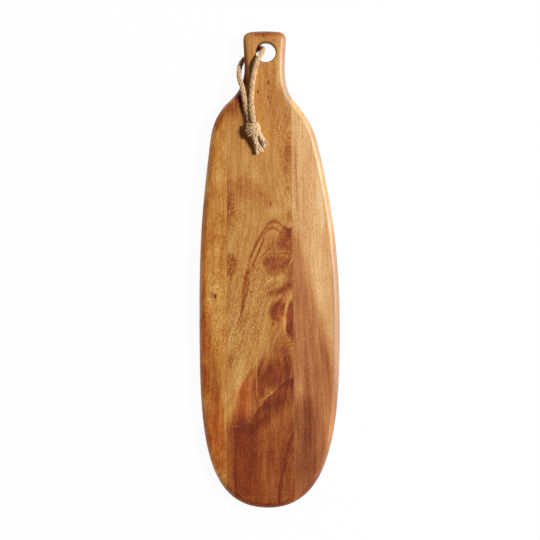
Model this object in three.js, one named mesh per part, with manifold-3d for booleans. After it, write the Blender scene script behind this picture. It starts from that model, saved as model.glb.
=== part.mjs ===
// A bread board: three edge-glued staves with a waisted handle, and a tied cord through its hole.
// Millimetres, +Z up, +Y towards the handle. The origin lies under the middle of the board.
// The board lies as it does in use: its far tip on the table, its handle propped by the cord.

import * as THREE from 'three';
import { mergeVertices } from 'three/addons/utils/BufferGeometryUtils.js';
import Module from 'manifold-3d';

const wasm = await Module();
wasm.setup();

// Board
const boardLength = 480; // far tip to handle end
const bodyWidth = 141.7; // between the widest places of the two flanks
const boardThickness = 15;
const edgeRadius = 6.5; // sanded round on every edge, above and below
const tipShift = -1.3; // the far tip lies a little left of the body's middle

// Handle, measured from its end and from its own middle line
const neckShift = -5; // the handle's middle line lies left of the body's middle
const neckWidth = 40.7; // at the waist
const waistFromEnd = 38;
const handleWidth = 43.3; // near the end
const handleCornerRadius = 7.5;
const endCrown = 0.7; // rise of the end's slight bow

// Hanging hole
const holeDiameter = 20;
const holeFromEnd = 21.5; // handle end to the hole's middle
const holeShift = 1.2; // right of the handle's middle line
const rimChamfer = 1; // eased rim on both faces

// Flanks, each followed from the tip to the waist; a pull is how far a curve keeps its direction
const rightFlank = {
  side: 1,
  tipPull: 61,
  widestFromTip: 177,
  pullBelowWidest: 103,
  pullAboveWidest: 87,
  shoulderInset: 23.3, // inside the widest place
  shoulderFromEnd: 110.5,
  shoulderLean: THREE.MathUtils.degToRad(13.8),
  pullBelowShoulder: 53.5,
  pullAboveShoulder: 15,
  throatOut: 30.7, // outside the handle's middle line
  throatFromEnd: 71.3,
  throatLean: THREE.MathUtils.degToRad(41.8),
  pullBelowThroat: 14.5,
  pullAboveThroat: 11,
};
const leftFlank = {
  side: -1,
  tipPull: 69,
  widestFromTip: 205,
  pullBelowWidest: 121,
  pullAboveWidest: 76,
  shoulderInset: 11.2,
  shoulderFromEnd: 109,
  shoulderLean: THREE.MathUtils.degToRad(7),
  pullBelowShoulder: 50,
  pullAboveShoulder: 20,
  throatOut: 35.4,
  throatFromEnd: 70.2,
  throatLean: THREE.MathUtils.degToRad(48),
  pullBelowThroat: 12,
  pullAboveThroat: 10.2,
};
const waistPull = 15;

// Staves and the glue between them
const leftStaveWidth = 28; // from the left flank's widest place to the left joint
const centreStaveWidth = 65.9; // at the middle of the board's length
const rightJointLean = THREE.MathUtils.degToRad(0.63); // the centre stave widens towards the tip
const glueThickness = 0.15;
const glueClearance = 0.05; // between the glue and the wood on each side

// Cord
const cordDiameter = 5.2;
const cordClearance = 0.3; // kept between the cord and what it lies on or runs into
const tailFlare = 7.2; // across a frayed end

// Facets
const outlineStep = 5.5; // longest stretch of outline between two points
const fewestSteps = 5; // on a short curve such as a handle corner
const edgeSteps = 4;
const holeSides = 40;
const cordSides = 10;
const cordSteps = 72;

// What follows from these
const tipY = -boardLength / 2;
const endY = boardLength / 2;
const leftJoint = { x: leftStaveWidth - bodyWidth / 2, lean: 0 };
const rightJoint = { x: leftJoint.x + centreStaveWidth, lean: rightJointLean };
const jointGap = glueThickness + 2 * glueClearance;
const hole = new THREE.Vector2(neckShift + holeShift, endY - holeFromEnd);
const cordRadius = cordDiameter / 2;

// The cord lifts the handle by its own thickness, so the board pitches about its far tip
const pivot = new THREE.Vector3(0, tipY + edgeRadius, edgeRadius);
const propFromHole = 7.5; // where the underside first meets the cord, nearer the tip than the hole
const pitch = Math.asin((cordDiameter + cordClearance) / (hole.y - propFromHole - pivot.y));

// Cord route from the knot up the front leg, down the hole, under the handle and back beside it
const loopRoute = [
  [-16.6, 146.5, 28.2],
  [-16.9, 154.3, 28.0],
  [-17.6, 161.5, 27.0],
  [-18.1, 171.0, 25.8],
  [-17.3, 183.5, 24.9],
  [-15.4, 198.0, 24.6],
  [-11.9, 209.6, 24.6],
  [-8.9, 214.6, 23.1],
  [-6.9, 218.6, 19.4],
  [-7.1, 221.4, 14.2],
  [-8.5, 222.6, 8.6],
  [-11.2, 222.2, 4.0],
  [-16.2, 219.3, 2.7],
  [-22.0, 214.8, 2.7],
  [-27.2, 210.0, 3.9],
  [-29.9, 204.5, 7.6],
  [-30.7, 198.0, 12.2],
  [-30.1, 191.0, 17.1],
  [-27.6, 183.3, 21.8],
  [-24.5, 171.0, 23.4],
  [-22.0, 160.8, 22.9],
  [-19.8, 154.0, 22.8],
  [-18.6, 147.5, 23.2],
];

// Knot: a core with two slanted turns of cord round it, lying flat on the board
const knotMiddle = new THREE.Vector3(-16.7, 140.2, 26.0);
const knotCore = new THREE.Vector3(5.4, 6.6, 5.4); // half sizes
const knotTurns = [
  { rise: 2.9, radius: 4.3, tilt: new THREE.Euler(1.2, 0.25, 0) },
  { rise: -2.6, radius: 4.2, tilt: new THREE.Euler(1.75, -0.45, 0) },
];

// Tails: each runs from inside the knot to a frayed end on the board
const tailRoutes = {
  cord_tail_left: [new THREE.Vector3(-14.8, 132.6, 25.4), new THREE.Vector3(-10.2, 117.0, 23.6)],
  cord_tail_right: [new THREE.Vector3(-11.2, 136.4, 26.0), new THREE.Vector3(-2.6, 123.6, 23.7)],
};

function toSolid(geometry) {
  const bare = geometry.clone();
  bare.deleteAttribute('normal');
  bare.deleteAttribute('uv');
  const merged = mergeVertices(bare, 1e-4);
  return new wasm.Manifold(new wasm.Mesh({
    numProp: 3,
    vertProperties: new Float32Array(merged.attributes.position.array),
    triVerts: new Uint32Array(merged.index.array),
  }));
}

function toGeometry(solid) {
  const mesh = solid.getMesh();
  const geometry = new THREE.BufferGeometry();
  geometry.setAttribute('position', new THREE.BufferAttribute(mesh.vertProperties, 3));
  geometry.setIndex(new THREE.BufferAttribute(mesh.triVerts, 1));
  geometry.computeVertexNormals();
  return geometry;
}

// The stations along one flank: a place, the direction of travel there, and the pulls before and after
function flankStations(flank) {
  const s = flank.side;
  const leaning = (angle) => new THREE.Vector2(-s * Math.sin(angle), Math.cos(angle));
  const corner = handleCornerRadius;
  const roundPull = 0.55 * corner; // a pull of 0.55 of its radius makes a quarter curve round
  const shoulderX = s * (bodyWidth / 2 - flank.shoulderInset);
  const cornerTopY = endY - endCrown;
  const flatX = handleWidth / 2 - corner;
  return [
    { at: [tipShift, tipY], toward: new THREE.Vector2(s, 0), after: flank.tipPull },
    { at: [s * bodyWidth / 2, tipY + flank.widestFromTip], toward: leaning(0),
      before: flank.pullBelowWidest, after: flank.pullAboveWidest },
    { at: [shoulderX, endY - flank.shoulderFromEnd], toward: leaning(flank.shoulderLean),
      before: flank.pullBelowShoulder, after: flank.pullAboveShoulder },
    { at: [neckShift + s * flank.throatOut, endY - flank.throatFromEnd], toward: leaning(flank.throatLean),
      before: flank.pullBelowThroat, after: flank.pullAboveThroat },
    { at: [neckShift + s * neckWidth / 2, endY - waistFromEnd], toward: leaning(0),
      before: waistPull, after: waistPull },
    { at: [neckShift + s * handleWidth / 2, cornerTopY - corner], toward: leaning(0),
      before: roundPull, after: roundPull },
    { at: [neckShift + s * flatX, cornerTopY], toward: new THREE.Vector2(-s * flatX, 2 * endCrown).normalize(),
      before: roundPull, after: flatX / 3 },
    { at: [neckShift, endY], toward: new THREE.Vector2(-s, 0), before: flatX / 3 },
  ];
}

function flankPoints(flank) {
  const stations = flankStations(flank);
  const points = [];
  for (let i = 0; i + 1 < stations.length; i += 1) {
    const from = new THREE.Vector2(...stations[i].at);
    const to = new THREE.Vector2(...stations[i + 1].at);
    const leave = from.clone().addScaledVector(stations[i].toward, stations[i].after);
    const arrive = to.clone().addScaledVector(stations[i + 1].toward, -stations[i + 1].before);
    const curve = new THREE.CubicBezierCurve(from, leave, arrive, to);
    const steps = Math.max(fewestSteps, Math.ceil(curve.getLength() / outlineStep));
    points.push(...curve.getSpacedPoints(steps).slice(0, steps));
  }
  points.push(new THREE.Vector2(...stations.at(-1).at));
  return points;
}

// The whole board, before it is parted into staves
function boardSolid() {
  const right = flankPoints(rightFlank);
  const left = flankPoints(leftFlank).reverse();
  const outline = new THREE.Shape([...right, ...left.slice(1, -1)]);
  const slab = new THREE.ExtrudeGeometry(outline, {
    depth: boardThickness - 2 * edgeRadius,
    bevelThickness: edgeRadius,
    bevelSize: edgeRadius,
    bevelOffset: -edgeRadius,
    bevelSegments: edgeSteps,
  });
  slab.translate(0, 0, edgeRadius);
  return toSolid(slab).subtract(toSolid(holeCutter()));
}

// A drill with a countersink at each end, reaching past both faces
function holeCutter() {
  const past = 1;
  const bore = holeDiameter / 2;
  const mouth = bore + rimChamfer + past;
  const profile = [
    new THREE.Vector2(0, -past),
    new THREE.Vector2(mouth, -past),
    new THREE.Vector2(bore, rimChamfer),
    new THREE.Vector2(bore, boardThickness - rimChamfer),
    new THREE.Vector2(mouth, boardThickness + past),
    new THREE.Vector2(0, boardThickness + past),
  ];
  const cutter = new THREE.LatheGeometry(profile, holeSides);
  cutter.rotateX(Math.PI / 2);
  cutter.translate(hole.x, hole.y, 0);
  return cutter;
}

// A block that fills the space from one distance to another across a glue joint
function besideJoint(joint, from, to) {
  const block = new THREE.BoxGeometry(to - from, 2 * boardLength, 3 * boardThickness);
  block.translate((from + to) / 2, 0, boardThickness / 2);
  block.rotateZ(joint.lean);
  block.translate(joint.x, 0, 0);
  return toSolid(block);
}

function staveSolids() {
  const board = boardSolid();
  const far = 2 * bodyWidth;
  const edge = jointGap / 2;
  const glue = glueThickness / 2;
  return {
    left_stave: board.intersect(besideJoint(leftJoint, -far, -edge)),
    left_glue_line: board.intersect(besideJoint(leftJoint, -glue, glue)),
    centre_stave: board.subtract(besideJoint(leftJoint, -far, edge)).subtract(besideJoint(rightJoint, -edge, far)),
    right_glue_line: board.intersect(besideJoint(rightJoint, -glue, glue)),
    right_stave: board.intersect(besideJoint(rightJoint, edge, far)),
  };
}

// A cord of the given radius along the loop's route, each end run on by a length
function loopTube(radius, runOn) {
  const points = loopRoute.map((place) => new THREE.Vector3(...place));
  for (const [end, next] of [[0, 1], [points.length - 1, points.length - 2]]) {
    const outward = points[end].clone().sub(points[next]).normalize();
    points[end].addScaledVector(outward, runOn);
  }
  const section = new THREE.Shape().absarc(0, 0, radius, 0, 2 * Math.PI);
  return new THREE.ExtrudeGeometry(section, {
    steps: cordSteps,
    curveSegments: cordSides / 2,
    extrudePath: new THREE.CatmullRomCurve3(points, false, 'centripetal'),
  });
}

// A round piece turned about the line from one place to another
function turnedAlong([from, to], profile) {
  const piece = new THREE.LatheGeometry(profile, cordSides);
  const along = to.clone().sub(from).normalize();
  piece.applyQuaternion(new THREE.Quaternion().setFromUnitVectors(new THREE.Vector3(0, 1, 0), along));
  piece.translate(from.x, from.y, from.z);
  return piece;
}

function tailPiece(route) {
  const length = route[0].distanceTo(route[1]);
  return turnedAlong(route, [
    new THREE.Vector2(0, 0),
    new THREE.Vector2(cordRadius, 0),
    new THREE.Vector2(cordRadius, length * 0.55),
    new THREE.Vector2(tailFlare / 2, length),
    new THREE.Vector2(0, length),
  ]);
}

// The room that a tail takes inside the knot
function tailSocket(route) {
  const reach = cordRadius + cordClearance;
  return turnedAlong(route, [
    new THREE.Vector2(0, -cordClearance),
    new THREE.Vector2(reach, -cordClearance),
    new THREE.Vector2(reach, route[0].distanceTo(route[1]) / 2),
    new THREE.Vector2(0, route[0].distanceTo(route[1]) / 2),
  ]);
}

function knotSolid() {
  const core = new THREE.SphereGeometry(1, 20, 14);
  core.scale(knotCore.x, knotCore.y, knotCore.z);
  let knot = toSolid(core);
  for (const turn of knotTurns) {
    const ring = new THREE.TorusGeometry(turn.radius, cordRadius, cordSides, 24);
    ring.applyQuaternion(new THREE.Quaternion().setFromEuler(turn.tilt));
    ring.translate(0, turn.rise, 0);
    knot = knot.add(toSolid(ring));
  }
  knot = knot.translate(knotMiddle.toArray());
  for (const route of Object.values(tailRoutes)) {
    knot = knot.subtract(toSolid(tailSocket(route)));
  }
  return knot.subtract(toSolid(loopTube(cordRadius + cordClearance, cordClearance))).subtract(underKnot());
}

// Everything below the level on which the knot lies
function underKnot() {
  const knotEndY = knotMiddle.y + knotCore.y + cordDiameter;
  const level = boardThickness + (knotEndY - pivot.y) * Math.sin(pitch) + cordClearance;
  const block = new THREE.BoxGeometry(2 * cordDiameter * 5, 2 * cordDiameter * 5, level);
  block.translate(knotMiddle.x, knotMiddle.y, level / 2);
  return toSolid(block);
}

const finishes = {
  left_stave: { color: 0xb98247, roughness: 0.5 },
  centre_stave: { color: 0xa9713a, roughness: 0.5 },
  right_stave: { color: 0xc08c54, roughness: 0.5 },
  left_glue_line: { color: 0x5b3418, roughness: 0.7 },
  right_glue_line: { color: 0x5b3418, roughness: 0.7 },
  cord: { color: 0xd9bd92, roughness: 0.95 },
};

function namedMesh(name, geometry, finish) {
  const mesh = new THREE.Mesh(geometry, new THREE.MeshStandardMaterial({ ...finish, metalness: 0 }));
  mesh.name = name;
  return mesh;
}

// The staves and glue lines, pitched together about the tip's lower edge
function boardGroup() {
  const flat = new THREE.Group();
  flat.position.copy(pivot).negate();
  for (const [name, solid] of Object.entries(staveSolids())) {
    flat.add(namedMesh(name, toGeometry(solid), finishes[name]));
  }
  const pitched = new THREE.Group();
  pitched.position.copy(pivot);
  pitched.rotation.x = pitch;
  pitched.add(flat);
  return pitched;
}

// The loop, its knot and its two tails
function cordGroup() {
  const cord = new THREE.Group();
  cord.add(namedMesh('hanging_loop', loopTube(cordRadius, 0), finishes.cord));
  cord.add(namedMesh('cord_knot', toGeometry(knotSolid()), finishes.cord));
  for (const [name, route] of Object.entries(tailRoutes)) {
    cord.add(namedMesh(name, tailPiece(route), finishes.cord));
  }
  return cord;
}

const breadBoard = new THREE.Group();
breadBoard.add(boardGroup(), cordGroup());

export default breadBoard;
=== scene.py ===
import bmesh
import bpy
import math
import random
from mathutils import Matrix, Vector


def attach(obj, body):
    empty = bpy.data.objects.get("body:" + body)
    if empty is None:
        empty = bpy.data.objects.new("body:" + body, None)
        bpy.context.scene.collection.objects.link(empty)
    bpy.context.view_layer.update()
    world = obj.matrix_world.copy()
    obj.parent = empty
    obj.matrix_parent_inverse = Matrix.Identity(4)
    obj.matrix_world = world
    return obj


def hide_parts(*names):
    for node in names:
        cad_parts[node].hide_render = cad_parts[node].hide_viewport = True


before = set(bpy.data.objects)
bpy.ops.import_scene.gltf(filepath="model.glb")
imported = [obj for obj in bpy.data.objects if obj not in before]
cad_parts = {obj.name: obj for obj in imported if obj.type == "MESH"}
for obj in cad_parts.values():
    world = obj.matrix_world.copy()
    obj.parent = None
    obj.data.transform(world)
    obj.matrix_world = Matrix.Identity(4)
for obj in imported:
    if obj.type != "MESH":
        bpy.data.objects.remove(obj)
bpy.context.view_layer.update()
print("frame loaded")


# a shader socket that can be written into sums
class Wire:
    def __init__(self, tree, socket):
        self.tree = tree
        self.socket = socket

    # any node: its settings first, then the values or links of its sockets
    def node(self, kind, settings=None, inputs=None, out=0):
        made = self.tree.nodes.new(kind)
        for key, value in (settings or {}).items():
            if key == "stops":
                while len(made.color_ramp.elements) < len(value):
                    made.color_ramp.elements.new(1.0)
                for element, (position, colour) in zip(made.color_ramp.elements, value):
                    element.position = position
                    element.color = colour
            else:
                setattr(made, key, value)
        for key, value in (inputs or {}).items():
            if isinstance(value, Wire):
                self.tree.links.new(value.socket, made.inputs[key])
            else:
                made.inputs[key].default_value = value
        return Wire(self.tree, made.outputs[out])

    def maths(self, operation, other=0.0, turned=False):
        inputs = {0: other, 1: self} if turned else {0: self, 1: other}
        return self.node("ShaderNodeMath", {"operation": operation}, inputs)

    def __add__(self, other):
        return self.maths("ADD", other)

    def __radd__(self, other):
        return self.maths("ADD", other)

    def __sub__(self, other):
        return self.maths("SUBTRACT", other)

    def __rsub__(self, other):
        return self.maths("SUBTRACT", other, True)

    def __mul__(self, other):
        return self.maths("MULTIPLY", other)

    def __rmul__(self, other):
        return self.maths("MULTIPLY", other)

    def __truediv__(self, other):
        return self.maths("DIVIDE", other)

    # goes smoothly from 0 at one value to the given height at another
    def fade(self, start, end, height=1.0):
        return self.node("ShaderNodeMapRange", {"interpolation_type": "SMOOTHSTEP"},
                         {"Value": self, "From Min": start, "From Max": end, "To Max": height})

    def vector(self, operation, other=(0, 0, 0), out=0):
        return self.node("ShaderNodeVectorMath", {"operation": operation}, {0: self, 1: other}, out)

    def along(self, direction):
        return self.vector("DOT_PRODUCT", direction, "Value")

    # noise on stretched coordinates, with so many features to a unit along each axis
    def noise(self, perUnit, detail=3.0, rough=0.55, out="Fac"):
        stretched = self.vector("MULTIPLY", perUnit)
        inputs = {"Vector": stretched, "Scale": 1.0, "Detail": detail, "Roughness": rough}
        return self.node("ShaderNodeTexNoise", None, inputs, out)

    # these coordinates pushed about by a coloured noise
    def pushed(self, noise, reach):
        centred = noise.vector("SUBTRACT", (0.5, 0.5, 0.5))
        return self.vector("ADD", centred.vector("MULTIPLY", reach))

    def ramp(self, stops):
        return self.node("ShaderNodeValToRGB", {"stops": stops}, {"Fac": self})


def startMaterial(name):
    material = bpy.data.materials.new(name)
    material.use_nodes = True
    tree = material.node_tree
    return material, tree, tree.nodes["Principled BSDF"]


def readNode(tree, kind, output):
    return Wire(tree, tree.nodes.new(kind).outputs[output])


def plug(wire, socket):
    wire.tree.links.new(wire.socket, socket)


# an 8-bit screen colour as Blender's linear one
def screen(red, green, blue):
    parts = []
    for part in (red, green, blue):
        value = part / 255
        parts.append(value / 12.92 if value <= 0.04045 else ((value + 0.055) / 1.055) ** 2.4)
    return (*parts, 1.0)


def only(thing):
    bpy.ops.object.select_all(action="DESELECT")
    thing.select_set(True)
    bpy.context.view_layer.objects.active = thing


cameraSetup = {
    "aim": (0.00033, -0.0001),
    "height": 1.660,
    "level": 0.010,                  # the height at which the view is viewWidth wide
    "viewWidth": 0.54454,
}


def makeCamera():
    bpy.ops.object.camera_add(location=(*cameraSetup["aim"], cameraSetup["height"]), rotation=(0, 0, 0))
    camera = bpy.context.object
    camera.name = "overheadCamera"
    away = cameraSetup["height"] - cameraSetup["level"]
    camera.data.angle = 2 * math.atan(cameraSetup["viewWidth"] / 2 / away)
    camera.data.dof.use_dof = False
    bpy.context.scene.camera = camera


lightSetup = {
    "keyLamp": {"power": 114.0, "size": 0.65, "away": 3.0, "heading": 15.0, "rise": 47.0},
    "above": 0.03,                   # light from overhead, all round
    # light from each side: its strength, and the heights where it begins and is full
    "right": (1.1, 0.55, 0.20),
    "left": (5.0, 0.22, 0.03),
    "sideBand": (0.2, 0.8),          # how far towards that side it begins and is full
}


# a soft round lamp; its heading turns from +X towards +Y
def addLamp(name):
    setup = lightSetup[name]
    heading = math.radians(setup["heading"])
    rise = math.radians(setup["rise"])
    toward = Vector((math.cos(rise) * math.cos(heading), math.cos(rise) * math.sin(heading), math.sin(rise)))
    bpy.ops.object.light_add(type="AREA", location=toward * setup["away"])
    lamp = bpy.context.object
    lamp.name = name
    lamp.rotation_euler = toward.to_track_quat("Z", "Y").to_euler()
    lamp.data.shape = "DISK"
    lamp.data.size = setup["size"]
    lamp.data.energy = setup["power"]


# how far a ray is one that shows the white background
def backdropRays(tree):
    rays = readNode(tree, "ShaderNodeLightPath", "Is Camera Ray")
    for kind in ("Is Glossy Ray", "Is Transmission Ray"):
        rays = rays.maths("MAXIMUM", readNode(tree, "ShaderNodeLightPath", kind))
    return rays


def makeWorld():
    world = bpy.data.worlds.new("studio")
    bpy.context.scene.world = world
    world.use_nodes = True
    tree = world.node_tree
    way = readNode(tree, "ShaderNodeTexCoord", "Generated")
    start, full = lightSetup["sideBand"]
    light = lightSetup["above"]
    for side, sign in (("right", 1), ("left", -1)):
        strength, high, low = lightSetup[side]
        sideways = way.along((sign, 0, 0)).fade(start, full, strength)
        light = sideways * way.along((0, 0, 1)).fade(high, low) + light
    seen = readNode(tree, "ShaderNodeLightPath", "Is Camera Ray")
    sky = tree.nodes["Background"]
    sky.inputs["Color"].default_value = (1, 1, 1, 1)
    plug(light.maths("MAXIMUM", seen), sky.inputs["Strength"])


floorSetup = {
    "size": 6.0,
    "tone": 0.95,
    "roughness": 0.9,
    "glow": 0.96,                    # how much of the white shows through the shadows
}


def makeFloor():
    bpy.ops.object.select_all(action="DESELECT")
    bpy.ops.mesh.primitive_plane_add(size=floorSetup["size"], location=(0, 0, 0))
    floor = bpy.context.object
    floor.name = "studioFloor"
    material, tree, shader = startMaterial("paleFloor")
    tone = floorSetup["tone"]
    shader.inputs["Base Color"].default_value = (tone, tone, tone, 1)
    shader.inputs["Roughness"].default_value = floorSetup["roughness"]
    rays = backdropRays(tree)
    glow = rays.node("ShaderNodeEmission", None, {"Color": (1, 1, 1, 1), "Strength": 1.0})
    mixed = rays.node("ShaderNodeMixShader", None,
                      {0: rays * floorSetup["glow"], 1: Wire(tree, shader.outputs[0]), 2: glow})
    plug(mixed, tree.nodes["Material Output"].inputs["Surface"])
    floor.data.materials.append(material)


makeCamera()
addLamp("keyLamp")
makeWorld()
makeFloor()
bpy.context.scene.view_settings.view_transform = "Standard"
print("camera, light and floor made")


# the loop's route, in metres
loopRoute = [
    (-0.0162, 0.1424, 0.0268), (-0.0159, 0.1465, 0.0280), (-0.0167, 0.1543, 0.0277),
    (-0.0176, 0.1615, 0.0268), (-0.0181, 0.1710, 0.0258), (-0.0173, 0.1835, 0.0249),
    (-0.0154, 0.1980, 0.0246), (-0.0119, 0.2098, 0.0246), (-0.0088, 0.2153, 0.0232),
    (-0.0068, 0.2197, 0.0195), (-0.0071, 0.2225, 0.0142), (-0.0086, 0.2237, 0.0086),
    (-0.0112, 0.2233, 0.0040), (-0.0161, 0.2207, 0.0027), (-0.0219, 0.2166, 0.0027),
    (-0.0270, 0.2120, 0.0039), (-0.0298, 0.2062, 0.0076), (-0.0308, 0.1990, 0.0122),
    (-0.0301, 0.1910, 0.0171), (-0.0276, 0.1833, 0.0218), (-0.0250, 0.1710, 0.0234),
    (-0.0231, 0.1608, 0.0229), (-0.0212, 0.1540, 0.0228), (-0.0194, 0.1475, 0.0234),
    (-0.0182, 0.1432, 0.0248),
]

cordSetup = {
    "diameter": 0.0052,
    "step": 0.0008,                  # between two points along a strand
    "strandsEachWay": 4,
    "strandRadius": 0.00092,
    "middleRadius": 0.00166,         # from the cord's middle to a strand's
    "weave": 0.00016,                # how far a strand dips at each crossing
    "pitch": 0.0200,                 # one full turn of a strand
    "coreRadius": 0.00150,
    "tubeSteps": 2,                  # roundness of a strand
    "curveSteps": 24,                # between two places of a route
}


# points spaced evenly on a smooth curve through the given places
def smoothPath(places, step):
    points = [Vector(place) for place in places]
    points.insert(0, points[0] * 2 - points[1])
    points.append(points[-1] * 2 - points[-2])
    dense = []
    for i in range(1, len(points) - 2):
        before, start, end, after = points[i - 1:i + 3]
        for k in range(cordSetup["curveSteps"]):
            t = k / cordSetup["curveSteps"]
            dense.append(0.5 * (2 * start + (end - before) * t
                                + (2 * before - 5 * start + 4 * end - after) * t ** 2
                                + (3 * start - before - 3 * end + after) * t ** 3))
    dense.append(points[-2])
    lengths = [0.0]
    for a, b in zip(dense, dense[1:]):
        lengths.append(lengths[-1] + (b - a).length)
    count = max(2, round(lengths[-1] / step))
    spaced = []
    at = 0
    for k in range(count + 1):
        want = lengths[-1] * k / count
        while at < len(lengths) - 2 and lengths[at + 1] < want:
            at += 1
        share = (want - lengths[at]) / max(1e-12, lengths[at + 1] - lengths[at])
        spaced.append(dense[at].lerp(dense[at + 1], share))
    return spaced


# the direction and two cross directions at every point, carried along without twisting
def crossFrames(path):
    frames = []
    side = Vector((0, 0, 1)).cross(path[1] - path[0]).normalized()
    for i in range(len(path)):
        along = (path[min(i + 1, len(path) - 1)] - path[max(i - 1, 0)]).normalized()
        side = (side - along * side.dot(along)).normalized()
        frames.append((along, side, along.cross(side)))
    return frames


# the strands of a round braid along a path, each a list of (place, thickness)
def braidStrands(path):
    frames = crossFrames(path)
    step = (path[1] - path[0]).length
    each = cordSetup["strandsEachWay"]
    strands = []
    for way in (1, -1):
        for number in range(each):
            strand = []
            for i, place in enumerate(path):
                turn = 2 * math.pi * i * step / cordSetup["pitch"]
                angle = way * turn + 2 * math.pi * number / each
                out = cordSetup["middleRadius"] + way * cordSetup["weave"] * math.cos(each * turn)
                along, side, up = frames[i]
                spot = place + side * out * math.cos(angle) + up * out * math.sin(angle)
                spot.z = max(spot.z, cordSetup["strandRadius"])     # pressed flat on the table
                strand.append((spot, 1.0))
            strands.append(strand)
    return strands


# round tubes along lists of (place, thickness), as one mesh
def makeTubes(name, strands, radius):
    curve = bpy.data.curves.new(name, "CURVE")
    curve.dimensions = "3D"
    curve.bevel_depth = radius
    curve.bevel_resolution = cordSetup["tubeSteps"]
    curve.use_fill_caps = True
    for strand in strands:
        spline = curve.splines.new("POLY")
        spline.points.add(len(strand) - 1)
        for point, (place, thickness) in zip(spline.points, strand):
            point.co = (*place, 1)
            point.radius = thickness
    tubes = bpy.data.objects.new(name, curve)
    bpy.context.scene.collection.objects.link(tubes)
    only(tubes)
    bpy.ops.object.convert(target="MESH")
    bpy.ops.object.shade_smooth()
    return bpy.context.object


cordLook = {
    "stops": [(0.28, (150, 105, 66)), (0.42, (198, 159, 117)), (0.58, (218, 186, 148)),
              (0.75, (230, 202, 168))],
    # the frayed ends are paler fibre, made paler still as painted light: their flat, open brush catches less
    # of the lamp
    "paler": {"naturalFibre": 0, "frayedFibreWithPaintedLight": 14},     # added to the 8-bit colours
    "fibresRound": 4.0,              # fineness of the fibres round a strand
    "fibresAlong": 160,              # and along it, to the metre
    "mottle": 900,
    "patchy": 150,
    "shares": (0.35, 0.4, 0.4),      # of fibres, mottle and patches in the tone
    "darkBy": 0.07,
    "bump": {"Strength": 0.6, "Distance": 0.0003},
    "fixed": {"Roughness": 0.9, "Specular IOR Level": 0.15, "Subsurface Weight": 0.4,
              "Subsurface Radius": (1.0, 0.85, 0.7), "Subsurface Scale": 0.0007},
}


def cordMaterial(name):
    material, tree, shader = startMaterial(name)
    place = readNode(tree, "ShaderNodeTexCoord", "Object")
    around = readNode(tree, "ShaderNodeTexCoord", "UV").along((2 * math.pi, 0, 0))
    ring = around.node("ShaderNodeCombineXYZ", None, {
        "X": around.maths("COSINE") * cordLook["fibresRound"],
        "Y": around.maths("SINE") * cordLook["fibresRound"]})
    lengthwise = place.vector("MULTIPLY", (cordLook["fibresAlong"],) * 3)
    fibres = ring.vector("ADD", lengthwise).noise((1, 1, 1), 2)
    mottle = place.noise((cordLook["mottle"],) * 3)
    patchy = place.noise((cordLook["patchy"],) * 3, 2)
    fibreShare, mottleShare, patchShare = cordLook["shares"]
    tone = fibres * fibreShare + mottle * mottleShare + patchy * patchShare - cordLook["darkBy"]
    stops = []
    for at, colour in cordLook["stops"]:
        stops.append((at, screen(*(part + cordLook["paler"][name] for part in colour))))
    plug(tone.ramp(stops), shader.inputs["Base Color"])
    bump = tone.node("ShaderNodeBump", None, {**cordLook["bump"], "Height": fibres + mottle * 0.5})
    plug(bump, shader.inputs["Normal"])
    for socket, value in cordLook["fixed"].items():
        shader.inputs[socket].default_value = value
    return material


cordMaterials = {name: cordMaterial(name) for name in cordLook["paler"]}
loopPath = smoothPath(loopRoute, cordSetup["step"])
loopLength = sum((b - a).length for a, b in zip(loopPath, loopPath[1:]))


def finishCordPiece(piece, node, material="naturalFibre"):
    piece.data.materials.clear()
    piece.data.materials.append(cordMaterials[material])
    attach(piece, "cord")
    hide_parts(node)
    return piece


def makeLoop():
    strands = braidStrands(loopPath)
    core = cordSetup["coreRadius"] / cordSetup["strandRadius"]
    strands.append([(place, core) for place in loopPath])
    return finishCordPiece(makeTubes("braidedLoop", strands, cordSetup["strandRadius"]), "hanging_loop")


# the yarns of the knot run through places in mm from its middle; each place of the turn and the back
# has the first yarn's and how far the last yarn's is from it
knotSetup = {
    "middle": Vector((-0.0167, 0.1402, 0.0260)),
    "half": Vector((0.0060, 0.0073, 0.0050)),
    "core": 0.80,                    # the hidden middle, as a share of the half sizes
    "yarnRadius": 0.00098,
    "yarnStep": 0.08,                # between two points of a yarn, on a ball of radius 1
    "fanYarns": 7,
    "fanStart": ((3.4, 6.0, 5.5), (2.3, -4.4, 5.5)),     # where the fan leaves the right-hand turn
    "fanCrest": 5.6,
    "fanEnd": (147, 274),            # degrees round the outline where it goes out of sight
    "fanEdge": (7, 8.4, 0.6),        # half sizes of that outline, and its height
    "fanLift": (0.0009, 0.0001),     # every other yarn lies deeper
    "turnYarns": 5,
    "turnLift": 0.0010,
    "turn": [((1.4, 8.4, -1.0), (1.5, 0, 0)), ((3.6, 6.8, 3.8), (2.2, 0, -2.8)),
             ((4.0, 2.0, 4.8), (2.6, 0, -4.0)), ((3.4, -3.0, 4.4), (2.8, 0, -3.6)),
             ((3.0, -6.4, 2.0), (2.0, 0, -2.6))],
    "backYarns": 7,
    "back": [((-6, 7, 1), (0, -12, 0)), ((-5.4, 5, -2.5), (0, -11, 0)),
             ((0, 2.5, -6), (0, -6.5, 0)), ((6, 5, -2.5), (0, -9, 0))],
}


# a yarn laid over the knot's round body, through directions from its middle
def yarnOver(directions, lift):
    half = knotSetup["half"]
    places = []
    for direction in smoothPath([Vector(one).normalized() for one in directions], knotSetup["yarnStep"]):
        unit = direction.normalized()
        reach = 1 / math.sqrt((unit.x / half.x) ** 2 + (unit.y / half.y) ** 2 + (unit.z / half.z) ** 2)
        places.append((knotSetup["middle"] + unit * (reach + lift), 1.0))
    return places


# yarns side by side, from the first one's places to the last one's
def yarnRow(places, count, lift):
    row = []
    for k in range(count):
        share = k / (count - 1)
        row.append(yarnOver([Vector(first) + Vector(change) * share for first, change in places], lift))
    return row


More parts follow.
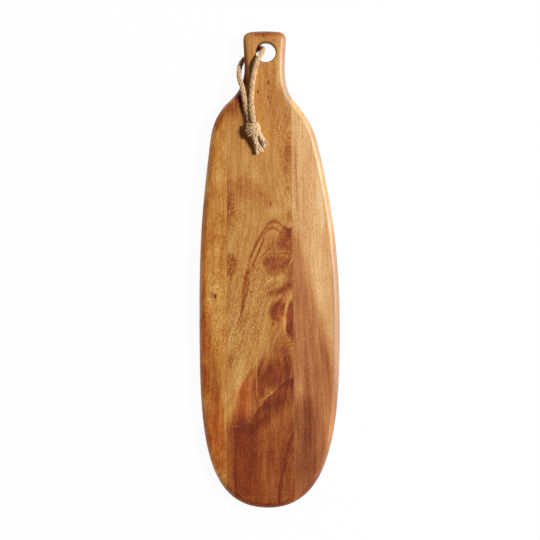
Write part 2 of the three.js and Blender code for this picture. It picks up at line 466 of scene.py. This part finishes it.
def makeFan():
    top, bottom = (Vector(place) for place in knotSetup["fanStart"])
    fromAngle, toAngle = knotSetup["fanEnd"]
    wide, long, high = knotSetup["fanEdge"]
    yarns = []
    for k in range(knotSetup["fanYarns"]):
        share = k / (knotSetup["fanYarns"] - 1)
        start = top.lerp(bottom, share)
        angle = math.radians(fromAngle * (1 - share) + toAngle * share)
        edge = Vector((wide * math.cos(angle), long * math.sin(angle), high))
        across = start.lerp(edge, 0.5)
        across.z = knotSetup["fanCrest"]
        hidden = [(6.5, start.y * 0.9, -1.5), (6.2, start.y, 2.5)]       # below the turn
        under = edge * 0.9 + Vector((0, 0, -4))
        yarns.append(yarnOver([*hidden, start, across, edge, under], knotSetup["fanLift"][k % 2]))
    return yarns


def makeKnot():
    yarns = makeFan()
    # the turn runs down the right side, over the fan
    yarns += yarnRow(knotSetup["turn"], knotSetup["turnYarns"], knotSetup["turnLift"])
    yarns += yarnRow(knotSetup["back"], knotSetup["backYarns"], 0.0)
    knot = makeTubes("tiedKnot", yarns, knotSetup["yarnRadius"])
    bpy.ops.object.select_all(action="DESELECT")
    bpy.ops.mesh.primitive_ico_sphere_add(subdivisions=3, radius=1, calc_uvs=False,
                                          location=knotSetup["middle"])
    core = bpy.context.object
    core.scale = knotSetup["half"] * knotSetup["core"]
    bpy.ops.object.transform_apply(location=True, rotation=True, scale=True)
    bpy.ops.object.shade_smooth()
    only(knot)
    core.select_set(True)
    bpy.ops.object.join()
    return finishCordPiece(bpy.context.object, "cord_knot")


# each strand of a tail ends in a brush of fibres; its lean runs from the left side, -1, to the right, 1
tailSetup = {
    "fibres": 9,                     # from one strand
    "fibreSize": 0.46,               # as a share of a strand
    "strandEnd": 0.6,                # the same, where the strand comes undone
    "stray": 0.10,                   # how far a fibre's lean, height and root may differ from its strand's
    "strayUp": 0.0011,
    "strayRoot": 0.0004,
    "left": {"node": "cord_tail_left", "seed": 4, "opens": 0.50, "spread": 0.0034,
             "leans": (-1.0, -0.8, -0.6, -0.4, 0.15, 0.4, 0.7, 1.0),
             "route": [(-0.0162, 0.1348, 0.0262), (-0.0146, 0.1305, 0.0258), (-0.0122, 0.1240, 0.0244),
                       (-0.0092, 0.1170, 0.0232)]},
    "right": {"node": "cord_tail_right", "seed": 9, "opens": 0.60, "spread": 0.0025,
              "leans": (-1.0, -0.7, -0.45, -0.15, 0.15, 0.45, 0.7, 1.0),
              "route": [(-0.0118, 0.1385, 0.0266), (-0.0096, 0.1342, 0.0260), (-0.0062, 0.1288, 0.0246),
                        (-0.0031, 0.1236, 0.0234)]},
}


# a braided end that comes undone and frays
def makeTail(side):
    setup = tailSetup[side]
    draw = random.Random(setup["seed"])
    path = smoothPath(setup["route"], cordSetup["step"])
    frames = crossFrames(path)
    last = len(path) - 1
    opens = round(last * setup["opens"])
    core = cordSetup["coreRadius"] / cordSetup["strandRadius"]
    stray, strayUp, strayRoot = (tailSetup[key] for key in ("stray", "strayUp", "strayRoot"))
    yarns = [[(place, core) for place in path[:opens]]]
    for strand, lean in zip(braidStrands(path), setup["leans"]):
        yarns.append([*strand[:opens + 1], (strand[opens + 1][0], tailSetup["strandEnd"])])
        for k in range(tailSetup["fibres"]):
            aside = (lean + draw.uniform(-stray, stray)) * setup["spread"]
            lift = draw.uniform(-strayUp, strayUp)
            root = Vector(draw.uniform(-strayRoot, strayRoot) for axis in range(3))
            fibre = []
            for i in range(opens - 1, last + 1 - draw.randint(0, 1)):
                ease = (i - opens + 1) / (last - opens + 1)
                ease = ease * (2 - ease)
                along, across, up = frames[i]
                loose = path[i] + across * aside + up * lift
                fibre.append(((strand[i][0] + root).lerp(loose, ease), tailSetup["fibreSize"]))
            yarns.append(fibre)
    tail = makeTubes(side + "Tail", yarns, cordSetup["strandRadius"])
    # the frayed ends take the paler fibre, partly painted light
    return finishCordPiece(tail, setup["node"], "frayedFibreWithPaintedLight")


loop = makeLoop()
knot = makeKnot()
tails = [makeTail(side) for side in ("left", "right")]
print("cord braided and tied, loop", round(loopLength, 4), "m")


# how the wood is drawn, in millimetres on the board; a tone of 0 is the palest wood and 1 the darkest
woodSetup = {
    "wander": (3.0, 5.0, 0.0),       # slow drift of every line
    "crinkle": (3.0, 4.0, 0.0),      # irregular outlines
    "feather": (1.6, 14.0, 0.0),     # ragged ends of patches, along the fibres
    "ripple": (1.0, 4.0, 0.0),       # the same for drawn lines
    # how many features to a millimetre across, along and through the board, and their detail
    "noises": {
        "wander": ((0.030, 0.010, 0.030), 2),
        "crinkle": ((0.10, 0.06, 0.10), 2),
        "feather": ((1.1, 0.05, 1.1), 2),
        "broad": ((0.06, 0.007, 0.06), 2),
        "streak": ((0.30, 0.012, 0.30), 4),
        "fibre": ((1.0, 0.05, 1.0), 3),
        "speckle": ((1.5, 0.50, 1.5), 2),
        "pore": ((1.6, 0.28, 1.6), 1),
        "mottle": ((0.11, 0.07, 0.11), 3),
        "hatch": ((0.30, 0.75, 0.30), 3),
    },
    "broad": 0.34,                   # the share of each in the tone
    "streak": 0.46,
    "fibre": 0.50,
    "speckle": 0.66,
    "pore": 0.17,
    "hatch": 1.5,
    "mottle": 0.5,
    "poreBand": (0.58, 0.70),        # noise between these opens into a pore
    "footStreak": 0.5,               # how far the streaks are lost at the foot
    "figureStreak": (0.7, 0.4),      # how far streaks cut into the figure, and less so at the foot
    "warm": (1.22, 1.0, 0.92, 1.0),
    "roughness": (0.38, 0.48),
    "bump": {"Strength": 0.12, "Distance": 0.0002},
    "relief": (0.5, 0.8),            # height of the fibres, and depth of the pores
}

# patches and marks are (x, y, half width, half length, turn, softness, tone); marks have crisp outlines
# hatches are patches broken into crumbs, and the last value is their mean tone
# lines are (start, middle, end, half width, softness, tone)
# shores are (start, middle, end, softness, depth, tone), dark to the left of the way they run,
# or to the right where the depth is below 0
# flows are (x, y, half width, half length, turn, how far the grain is pushed aside)
# coarse spots are patches whose last value is how much stronger the grain is there
# warm spots are patches whose last value is how far the colour turns red
# dull spots are patches whose last value is how much rougher the surface is
# painted sheens are patches whose last value is how far the colour fades to a pale sheen: a painted
# highlight and reflection on the rounded rims
# the foot is (from y, to y, tone), and the slant (from y, to y, how far the grain moves aside)
staveLook = {
    "left": {
        "node": "left_stave", "slot": "left_wood",
        "base": 0.375, "grain": 1.08, "mottle": 1.0, "foot": (-140, -172, 0.12), "slant": (0, -200, 6),
        "ramp": [(0.0, screen(232, 188, 122)), (0.27, screen(203, 147, 71)), (0.4, screen(190, 127, 50)),
                 (0.57, screen(171, 101, 36)), (0.7, screen(157, 80, 18)), (0.87, screen(130, 52, 6)),
                 (1.0, screen(104, 24, 0))],
        "patches": [
            (-70, -10, 8.5, 220, 0, 0.7, 0.12),      # deeper towards the flank
            (-50, 152, 7, 28, -35, 0.8, 0.26),       # dark shoulder: painted shade on its rounded rim
            # painted shade on the rounded rim of the upper flank
            (-61, 112, 5, 32, -9, 0.8, 0.12),
            (-46, -122, 4, 34, 4, 0.8, -0.12),       # golden tip beside the joint
            (-58, -200, 6, 30, 28, 0.7, -0.14),
            (-50, 70, 6, 40, 0, 0.9, -0.05),
            (-58, 31.5, 8, 8, 0, 0.8, 0.14),
            (-53, 8, 7, 14, 0, 0.9, -0.06),
            (-60, -31.5, 4.5, 5, 20, 0.8, -0.16),    # pale beside the pin knot
            (-50, -188, 8, 20, 12, 0.8, 0.17),       # swirl at the foot
            (-43.5, -148, 3.5, 15, 0, 0.8, -0.20),
            (-63, -112, 5, 28, 0, 0.8, 0.14),
            (-60, -157, 5, 13, 20, 0.8, -0.10),
        ],
        "lines": [
            ((-62.5, -21), (-58, -15.5), (-53.5, -21), 1.0, 0.9, 0.14),
            ((-61, -22.5), (-58, -18.8), (-55, -22.5), 0.8, 0.9, 0.12),
            ((-47, -182), (-43, -176), (-40, -186), 1.0, 0.9, -0.14),
            ((-44.2, 72), (-44.6, 58), (-44.0, 38), 0.8, 0.9, -0.16),
        ],
        "shores": [
            ((-68, -5), (-53, -92), (-42, -190), 8, -34, 0.22),        # red-brown flank
        ],
        "hatches": [],
        "marks": [
            (-54.6, -26.6, 1.5, 2.4, 0, 0.5, 1.20),  # pin knot
            (-54.6, -29.0, 1.4, 1.6, 0, 0.7, 0.30),
            (-47.6, 21, 1.0, 1.8, 0, 0.8, 0.30),
            (-47.2, 76, 0.8, 2.0, 0, 0.8, 0.30),
            (-49.2, 112, 0.8, 1.6, 0, 0.8, 0.25),
        ],
        "flows": [(-58, -17, 10, 16, 0, 6)],
        "coarse": [(-56, -30, 16, 90, 0, 0.9, 0.9)],
        "warm": [(-68, -40, 10, 190, 0, 0.8, 0.6), (-53, -165, 14, 60, 0, 0.8, 0.7)],
        "dull": [],
        "paintedSheens": [(-74, -25, 6.5, 170, 0, 0.5, 0.7), (-67, 80, 5, 45, -8, 0.7, 0.4)],
        "paintedSheen": screen(206, 166, 134),
    },
    "centre": {
        "node": "centre_stave", "slot": "centre_wood",
        "base": 0.39, "grain": 1.0, "mottle": 0.35, "foot": (-138, -160, 0.32), "slant": (70, -150, 42),
        "ramp": [(0.0, screen(226, 188, 130)), (0.2, screen(205, 158, 87)), (0.4, screen(187, 127, 57)),
                 (0.56, screen(170, 102, 43)), (0.73, screen(149, 75, 22)), (0.87, screen(132, 52, 8)),
                 (1.0, screen(104, 36, 5))],
        "patches": [
            (-30, 200, 9.5, 45, 0, 0.6, 0.95),       # dark left side of the handle: darker wood, with painted shade on its rounded rim and painted shadow of the cord
            # darker wood, and the painted shadow of the cord's legs on the left shoulder
            (-38, 162, 9, 13, -35, 0.9, 0.30),
            (-32, 157, 7, 13, -20, 0.9, 0.16),
            (9, 205, 4.5, 44, 0, 0.8, -0.22),        # pale right side: paler wood, with a painted highlight along its rounded edge
            (17, 172, 7, 14, 25, 0.7, -0.06),
            (-4, 240, 24, 8, 0, 0.6, 0.36),          # end of the handle: painted shade on its rounded rim
            (-27, 107, 16, 20, 0, 0.8, -0.10),       # pale upper left
            (17, 118, 7, 65, 0, 0.9, 0.13),
            (4, 60, 11, 8, 0, 0.8, -0.15),           # pale above the arch
            (20, 55, 3.2, 9, 0, 0.8, 0.30),
            (16.5, 29, 11.5, 17, 0, 0.5, 0.36),      # shadowy side of the arch
            (20, 37, 5, 6, 0, 0.8, 0.14),
            (4, 24, 13, 9, 0, 0.7, 0.16),
            (20.6, -3, 3.4, 20, 0, 0.5, 0.20),
            (11, -23.5, 9, 6, 20, 0.8, 0.18),
            (8.2, -41.5, 9.6, 13, -26, 0.4, 0.34),   # tilted oval
            (9.5, -40, 5, 8, -26, 0.6, 0.06),
            (6, -52, 9, 7, 0, 0.8, 0.16),
            (22.6, -50, 6.4, 21, -2, 0.18, 0.46),    # dark sliver by the joint
            (-8, -58, 6, 24, -8, 0.8, -0.08),        # pale column
            (11, -80, 14, 20, 0, 0.8, 0.15),         # nested bowls
            (10, -104, 18, 22, 0, 0.8, 0.28),
            (20, -100, 9, 28, 0, 0.7, 0.30),
            (-30, -104, 9, 26, -18, 0.7, -0.14),     # pale flame
            (-40, -146, 4.5, 20, -5, 0.8, -0.17),
            (-39.5, -91, 3.5, 10, -10, 0.7, 0.20),
            (14, -138, 15, 20, 0, 0.8, 0.28),
            (-4, -98, 8, 10, 0, 0.8, -0.10),
            (6, -114, 14, 9, 20, 0.8, 0.20),
            (14, -240, 34, 7, 0, 0.7, 0.24),         # edge of the foot: painted shade on its rounded rim
            (-28, -233, 18, 6, 18, 0.7, -0.12),
            (4, -158, 10, 12, -20, 0.8, -0.06),      # olive patch
            (14, -195, 12, 50, 0, 0.9, 0.05),
            (-28, -55, 8, 16, -15, 0.9, 0.12),
            (-3, -138, 7, 6, 25, 0.8, 0.14),
            (-9, -124, 5, 9, 0, 0.8, 0.10),
            (0, -186, 10, 20, 0, 0.9, 0.08),
            (2, 32, 6, 7, 0, 0.8, 0.07),
            (1, 165, 9, 50, 0, 0.9, 0.06),
        ],
        "lines": [
            ((-23, 3), (-12.8, 28), (-1, 46.5), 2.2, 0.8, 0.36),    # arch
            ((-5, 41.5), (3.8, 49.5), (14, 42.5), 3.2, 0.8, 0.29),
            ((11, 45), (16, 42), (24, 40), 3.0, 0.8, 0.32),
            ((-6, 33), (2.5, 43.0), (13, 36), 2.4, 0.8, 0.30),
            ((-21, -4), (-14, 12), (-4.5, 36), 2.0, 0.8, 0.36),     # slanting streaks
            ((-20, -6), (-10, 11), (2, 24), 1.4, 0.9, 0.30),
            ((-20.5, 9), (-24.5, -14), (-29, -50), 3.8, 0.9, 0.36),
            ((-17, 3), (-21, -12), (-23.5, -34), 1.5, 0.9, 0.24),
            ((-4, 21), (-12, 8.5), (-19, -3), 0.8, 0.9, -0.22),
            ((-9, 7), (4, 7), (21, 9), 9.5, 0.6, 0.23),             # brown oval
            ((-5, -1), (7, -1), (19, 3), 7.0, 0.7, 0.18),
            ((-22, -14), (0, -8.5), (24, -10), 5.0, 0.9, -0.07),    # pale strip
            ((-4, -25), (11, -20.5), (27, -13), 6.0, 0.9, 0.27),    # smudge
            ((-8, 14), (6, 17), (24, 15), 0.9, 0.7, 0.26),          # brow of the oval
            ((22.5, 14.5), (19, 7.5), (15.5, -1), 1.2, 0.7, 0.26),
            ((23.6, 13.5), (21.2, 9.7), (19.0, 5.5), 0.9, 0.8, -0.60),
            ((4, -8), (-4, -14), (-9.5, -26), 1.3, 0.9, -0.20),
            ((9, -12), (0, -17), (-5, -24), 0.8, 0.9, 0.16),
            ((23.6, -22.5), (18, -34), (14.5, -48), 1.3, 0.8, -0.24),  # golden vein
            ((15, -45), (14.6, -55), (17, -66), 1.1, 0.8, -0.26),
            ((2, -72), (8, -88), (20, -81), 0.8, 0.8, -0.10),       # bowls
            ((0, -80), (8, -99), (23, -92), 0.9, 0.8, -0.11),
            ((4, -68), (10, -78), (17, -73), 0.7, 0.8, -0.09),
            ((-12.5, -82), (-13.9, -108), (-12.5, -134), 1.2, 0.8, -0.26),
            ((-13, -132.5), (-6, -129.5), (9, -117), 1.1, 0.8, -0.17),   # golden hook
            ((25, -160), (17, -187), (12, -212), 3.0, 0.8, 0.16),   # dark streak at the foot
            ((13, -204), (10.5, -220), (10, -239), 3.0, 0.8, 0.18),
            ((-22.6, -147.5), (-21, -151.5), (-19.6, -147.5), 0.7, 0.8, -0.45),
            ((-34.6, -154), (-33.2, -157.5), (-32, -154), 0.7, 0.8, -0.45),
        ],
        "shores": [
            ((-58, 86), (-27, 92), (2, 68), 8, -30, 0.13),             # brown smudge
            ((28, 15.5), (6, 16.6), (-12, 11), 1.2, 14, 0.10),         # below the brow
            ((22, -29), (6, -31), (-4, -46), 1.4, 14, 0.12),           # top of the tilted oval
            ((0.6, -50), (0.2, -78), (-1, -106), 2.0, 34, 0.12),       # bowls
            ((-6, -80), (-13, -108), (-12.5, -145), 2.0, 24, 0.16),    # beside the golden line
            ((-6, -84), (-24, -107), (-37, -160), 2.5, 32, 0.24),      # red wood beside the flame
            ((34, -102), (0, -126), (-20, -152), 2.5, 26, 0.36),       # dark band across
            ((4, -136), (-18, -154), (-42, -160), 3.0, 14, 0.08),
            ((-35.2, -144), (-35.6, -196), (-36, -260), 2.5, 34, 0.16),    # chocolate strip
        ],
        "hatches": [
            (-39.5, 59, 6.5, 23, 0, 0.6, 0.23),
            (-39.5, 5, 8.5, 15, 0, 0.5, 0.26),
            (9.5, 140, 4.5, 22, 13, 0.9, 0.06),
            (12, 118, 5, 12, 10, 0.9, 0.02),
        ],
        "marks": [
            (-3.8, 218.45, 10.7, 10.7, 0, 0.06, 0.60),   # painted shade on the wall of the hole
            (2.2, -5.8, 0.9, 1.4, 0, 0.6, 0.40),     # small dark marks
            (3.5, -54.3, 1.2, 2.0, 0, 0.6, 0.40),
            (0.9, 65.8, 0.7, 2.8, 0, 0.6, 0.60),
            (-8.2, 75.8, 0.7, 1.4, 0, 0.6, 0.40),
            (18.4, 81.7, 1.0, 2.2, 0, 0.6, 0.50),
            (-1.4, 188, 0.9, 2.8, 0, 0.6, 0.80),
            (-12, 178.5, 0.9, 2.6, 0, 0.6, 0.80),
            (-1.2, 173, 1.0, 3.0, 0, 0.6, 0.50),
            (0.3, 168, 0.8, 2.0, 0, 0.6, 0.40),
        ],
        "flows": [
            (9, 30, 16, 24, -10, 9), (9, 4, 15, 15, 0, 6), (8, -40, 14, 18, -35, 7),
            (10, -80, 18, 26, 0, 10), (12, 118, 18, 62, 0, 12), (-8, -112, 16, 28, -15, 6),
        ],
        "coarse": [(-20, -35, 28, 85, -12, 0.7, 1.2)],
        "warm": [(-26, -130, 14, 34, -14, 0.7, 0.8), (14, -46, 12, 22, 0, 0.7, 0.5),
                 (-24, -195, 16, 50, 0, 0.6, 0.3)],
        "dull": [(-27, 208, 5.5, 36, 0, 0.4, 0.45)],
        "paintedSheens": [(17.5, 205, 6.5, 46, 0, 0.5, 0.7), (22, 172, 7, 16, 30, 0.6, 0.2),
                  (-8, 241, 24, 5, 0, 0.6, 0.3)],
        "paintedSheen": screen(180, 149, 122),
    },
    "right": {
        "node": "right_stave", "slot": "right_wood",
        "base": 0.15, "grain": 0.70, "mottle": 0.35, "foot": (-160, -200, 0.24), "slant": (60, -160, -12),
        "ramp": [(0.0, screen(234, 198, 148)), (0.16, screen(215, 164, 105)), (0.25, screen(206, 150, 92)),
                 (0.4, screen(189, 126, 71)), (0.55, screen(170, 103, 55)), (0.72, screen(144, 76, 34)),
                 (0.8, screen(132, 63, 24)), (1.0, screen(84, 32, 8))],
        "patches": [
            (60, -165, 8, 55, -6, 0.9, -0.10),       # paler flank
            (51.5, 65, 5, 45, 4, 0.8, -0.12),
            (25, 90, 4, 110, 0, 0.9, 0.10),
            (29, -120, 6, 16, 0, 0.9, -0.12),        # pale beside the joint
            (38, -153, 18, 36, 0, 0.6, 0.21),
            (44, -217, 30, 7, 47, 0.7, 0.20),
            (33, -6, 9, 40, 14, 0.9, -0.13),
            (57, -80, 8, 36, 0, 0.8, 0.12),
            (71, -20, 10, 170, 0, 0.6, 0.25),        # edge: painted shade on the rounded edge that faces the key lamp
            (50, 125, 6, 50, 22, 0.7, 0.08),
        ],
        "lines": [
            ((25.5, 135), (27, 85), (28.5, 35), 1.6, 0.9, 0.20),
            ((28, 45), (30, 15), (35, -15), 1.7, 0.9, 0.12),
            ((33.5, 150), (34, 90), (35, 30), 1.0, 0.9, 0.10),
            ((39, 120), (39.5, 60), (41, 0), 0.9, 0.9, 0.09),
            ((44.5, 90), (46, 40), (49, -10), 0.9, 0.9, 0.08),
        ],
        "shores": [
            ((-2, 120), (50, -44), (100, -245), 14, -170, 0.37),       # red-brown below a slant
        ],
        "hatches": [],
        "marks": [],
        "flows": [],
        "coarse": [],
        "warm": [],
        "dull": [],
        "paintedSheens": [(72, -25, 10, 175, 0, 0.5, 0.65), (56, 110, 8, 65, 16, 0.6, 0.8),
                  (62, -185, 6, 40, -22, 0.6, 0.5)],
        "paintedSheen": screen(172, 138, 108),
    },
}


# an oval mark with a soft edge
def patch(place, x, y, halfWide, halfLong, turn, soft, tone):
    local = place.node("ShaderNodeMapping", {"vector_type": "TEXTURE"}, {
        "Vector": place, "Location": (x, y, 0), "Rotation": (0, 0, math.radians(turn)),
        "Scale": (halfWide, halfLong, 1e6)})
    return local.vector("LENGTH", out="Value").fade(1.0, 1.0 - soft, tone)


# how far along a bowed line a place is, from -1 to 1 and squared, and how far to the left of it
def besideLine(place, start, middle, end):
    start, middle, end = Vector(start), Vector(middle), Vector(end)
    chord = end - start
    centre = (start + end) / 2
    across = Vector((-chord.y, chord.x)).normalized()
    bow = (middle - centre).dot(across)
    offset = place.vector("SUBTRACT", (*(centre + across * bow), 0))
    run = offset.along((*(chord * 2 / chord.length_squared), 0))
    runSquared = run * run
    return runSquared, runSquared * bow + offset.along((*across, 0))


# a bowed line that thins towards its ends
def drawnLine(place, start, middle, end, halfWide, soft, tone):
    runSquared, aside = besideLine(place, start, middle, end)
    return (aside.maths("ABSOLUTE") / halfWide + runSquared * runSquared).fade(1.0, 1.0 - soft, tone)


# a stain that stops short at a bowed line and dies away from it on the other side
def shore(place, start, middle, end, soft, depth, tone):
    runSquared, aside = besideLine(place, start, middle, end)
    inward = aside if depth > 0 else aside * -1
    depth = abs(depth)
    body = inward.fade(-soft / 2, soft / 2, tone) * inward.fade(depth, depth * 0.35)
    return body * runSquared.fade(1.0, 0.3)


# the sum of one kind of mark, each drawn by the given function
def drawn(draw, place, marks, start=0.0):
    total = start
    for mark in marks:
        total = draw(place, *mark) + total
    return total


def woodMaterial(side):
    look = staveLook[side]
    noises = woodSetup["noises"]
    material, tree, shader = startMaterial(side + "Wood")
    place = readNode(tree, "ShaderNodeTexCoord", "Object").vector("MULTIPLY", (1000, 1000, 1000))
    wander = place.noise(*noises["wander"], out="Color")
    crinkle = place.noise(*noises["crinkle"], out="Color")
    drifted = place.pushed(wander, woodSetup["wander"])
    bend = drifted.along((0, 1, 0)).fade(*look["slant"])
    for x, y, halfWide, halfLong, turn, push in look["flows"]:
        bend = bend + patch(drifted, x, y, halfWide, halfLong, turn, 1.0, push)
    flow = drifted.vector("ADD", bend.node("ShaderNodeCombineXYZ", None, {"X": bend}))
    feather = flow.noise(*noises["feather"], out="Color")
    crinkled = drifted.pushed(crinkle, woodSetup["crinkle"])
    ragged = crinkled.pushed(feather, woodSetup["feather"])
    rippled = crinkled.pushed(feather, woodSetup["ripple"])
    broad = flow.noise(*noises["broad"])
    streak = flow.noise(*noises["streak"])
    fibre = flow.noise(*noises["fibre"])
    speckle = flow.noise(*noises["speckle"])
    pores = flow.noise(*noises["pore"]).fade(*woodSetup["poreBand"])
    footStart, footEnd, footTone = look["foot"]
    foot = ragged.along((0, 1, 0)).fade(footStart, footEnd)
    figure = drawn(patch, ragged, look["patches"], foot * footTone)
    figure = drawn(drawnLine, rippled, look["lines"], figure)
    figure = drawn(shore, rippled, look["shores"], figure)
    mottle = drifted.noise(*noises["mottle"])
    coarse = drawn(patch, drifted, look["coarse"], 1.0)
    grain = ((broad - 0.5) * woodSetup["broad"] + (mottle - 0.5) * woodSetup["mottle"] * look["mottle"]
             + (streak - 0.5) * woodSetup["streak"] * (1 - foot * woodSetup["footStreak"])
             + (fibre - 0.5) * woodSetup["fibre"] + (speckle - 0.5) * coarse * woodSetup["speckle"])
    cut, cutLost = woodSetup["figureStreak"]
    streaky = (streak - 0.5) * (cut - foot * cutLost) + 1
    tone = figure * streaky + grain * look["grain"] + pores * coarse * woodSetup["pore"] + look["base"]
    crumbs = drifted.noise(*noises["hatch"])
    for mark in look["hatches"]:
        tone = tone + patch(ragged, *mark[:-1], 1.0) * ((crumbs - 0.5) * woodSetup["hatch"] + mark[-1])
    tone = drawn(patch, place, look["marks"], tone)
    warm = drawn(patch, ragged, look["warm"])
    colour = tone.node("ShaderNodeMix", {"data_type": "RGBA", "blend_type": "MULTIPLY"},
                       {0: warm, 6: tone.ramp(look["ramp"]), 7: woodSetup["warm"]}, 2)
    # painted highlight and reflection: the colour fades to a pale sheen along the rounded rims
    paintedSheen = drawn(patch, crinkled, look["paintedSheens"])
    colour = colour.node("ShaderNodeMix", {"data_type": "RGBA"}, {0: paintedSheen, 6: colour, 7: look["paintedSheen"]}, 2)
    plug(colour, shader.inputs["Base Color"])
    low, high = woodSetup["roughness"]
    plug(drawn(patch, place, look["dull"], fibre * (high - low) + low), shader.inputs["Roughness"])
    raised, sunk = woodSetup["relief"]
    bump = tone.node("ShaderNodeBump", None, {**woodSetup["bump"], "Height": fibre * raised - pores * sunk})
    plug(bump, shader.inputs["Normal"])
    return material


skinSetup = {
    "pivot": Vector((0.0, -0.2335, 0.0065)),     # the board lies pitched about the lower edge of its tip
    "pitch": 0.709,                  # degrees
    "low": 0.0065,                   # the edge is upright between these heights, and round above and below
    "high": 0.0085,
    "radius": 0.0065,
    "shallow": 0.8,                  # least cosine between two faces of the skin that meet
    "crease": 30,                    # degrees, for the cuts and the hole
}


# shades the faces, rounded edge and flanks as the smooth round they stand for
# the cuts and the hole keep their own shading
def roundSkin(mesh):
    level = Matrix.Rotation(-math.radians(skinSetup["pitch"]), 3, "X")
    shape = bmesh.new()
    shape.from_mesh(mesh)
    skin = {max(shape.faces, key=lambda face: face.calc_area() * face.normal.z)}
    waiting = list(skin)
    while waiting:
        known = waiting.pop()
        for edge in known.edges:
            for face in edge.link_faces:
                if face not in skin and face.normal.dot(known.normal) > skinSetup["shallow"]:
                    skin.add(face)
                    waiting.append(face)
    for edge in shape.edges:
        if sum(face in skin for face in edge.link_faces) == 1:
            mesh.edges[edge.index].use_edge_sharp = True
    outward = {}
    for face in skin:
        facing = level @ face.normal * face.calc_area()
        for corner in face.verts:
            outward.setdefault(corner.index, Vector((0, 0, 0)))
            outward[corner.index] += Vector((facing.x, facing.y, 0))
    smooth = {}
    for number, direction in outward.items():
        height = (level @ (mesh.vertices[number].co - skinSetup["pivot"])).z + skinSetup["pivot"].z
        tilt = max(0, height - skinSetup["high"]) + min(0, height - skinSetup["low"])
        tilt = max(-1, min(1, tilt / skinSetup["radius"]))
        smooth[number] = direction.normalized() * math.sqrt(1 - tilt ** 2) + Vector((0, 0, tilt))
    normals = [Vector((0, 0, 0)) for corner in mesh.loops]
    for face in skin:
        for corner in mesh.polygons[face.index].loop_indices:
            normals[corner] = level.inverted() @ smooth[mesh.loops[corner].vertex_index]
    shape.free()
    mesh.normals_split_custom_set(normals)


def makeStave(side):
    look = staveLook[side]
    only(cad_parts[look["node"]])
    bpy.ops.object.duplicate()
    stave = bpy.context.object
    stave.name = side + "Stave"
    stave.parent = None
    for key in list(stave.keys()):
        del stave[key]
    bpy.ops.object.mode_set(mode="EDIT")
    bpy.ops.mesh.select_all(action="SELECT")
    bpy.ops.mesh.remove_doubles(threshold=0.00001)
    bpy.ops.object.mode_set(mode="OBJECT")
    bpy.ops.object.shade_smooth_by_angle(angle=math.radians(skinSetup["crease"]))
    roundSkin(stave.data)
    stave.data.materials.clear()
    stave.data.materials.append(woodMaterial(side))
    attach(stave, "board")
    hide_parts(look["node"])


glueLook = {
    "nodes": ("left_glue_line", "right_glue_line"),
    "stops": [(0.3, screen(150, 88, 44)), (0.7, screen(190, 124, 68))],
    "fineness": (900, 40, 900),
    "roughness": 0.5,
}


def glueMaterial():
    material, tree, shader = startMaterial("gluedJoint")
    place = readNode(tree, "ShaderNodeTexCoord", "Object")
    plug(place.noise(glueLook["fineness"]).ramp(glueLook["stops"]), shader.inputs["Base Color"])
    shader.inputs["Roughness"].default_value = glueLook["roughness"]
    return material


for side in staveLook:
    makeStave(side)
gluedJoint = glueMaterial()
for name in glueLook["nodes"]:
    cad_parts[name].data.materials.clear()
    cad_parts[name].data.materials.append(gluedJoint)
print("staves and glue lines finished")
